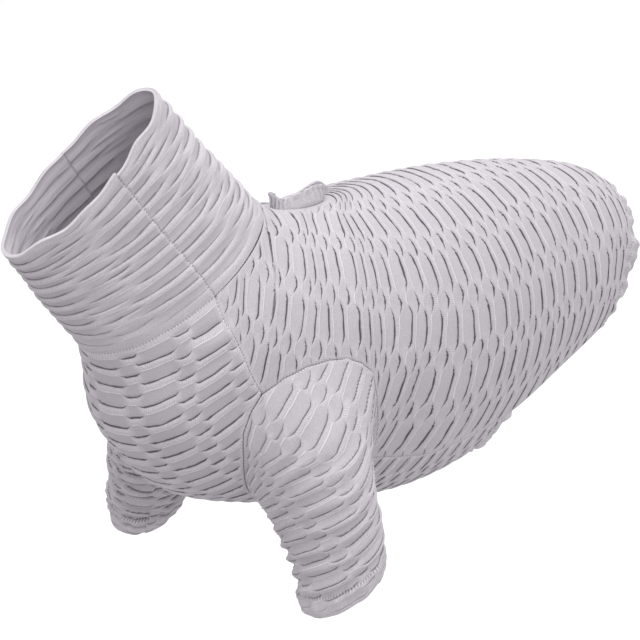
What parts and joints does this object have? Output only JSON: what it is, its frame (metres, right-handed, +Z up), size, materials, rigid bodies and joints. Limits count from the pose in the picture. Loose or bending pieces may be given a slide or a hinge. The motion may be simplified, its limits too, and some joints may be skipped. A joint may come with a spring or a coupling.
{
  "type": "dog turtleneck",
  "caption": "Ribbed knit turtleneck jumper for a dog: slanted collar, back and chest panels, short sleeves, leash slit on the withers, hem longer over the back.",
  "frame": {"origin": "middle of the wearer's trunk just behind the armholes, where the worn jumper is carried", "axes": "+X towards the tail, +Z up towards the back, -Y towards the wearer's left side, head towards -X"},
  "size_m": [0.4707, 0.2334, 0.3123],
  "materials": {
    "collar_back_knit": "crinkled rib knit, pale lilac grey",
    "collar_front_knit": "crinkled rib knit, pale lilac grey",
    "back_panel_knit": "crinkled rib knit, pale lilac grey",
    "chest_panel_knit": "crinkled rib knit, pale lilac grey",
    "left_sleeve_knit": "crinkled rib knit, pale lilac grey",
    "right_sleeve_knit": "crinkled rib knit, pale lilac grey",
    "leash_slit_welt_knit": "crinkled rib knit, pale lilac grey"
  },
  "bodies": {
    "root": {"collar_back": "collar_back_knit", "collar_front": "collar_front_knit", "back_panel": "back_panel_knit", "chest_panel": "chest_panel_knit", "left_sleeve": "left_sleeve_knit", "right_sleeve": "right_sleeve_knit", "leash_slit_welt": "leash_slit_welt_knit"}
  },
  "joints": []
}
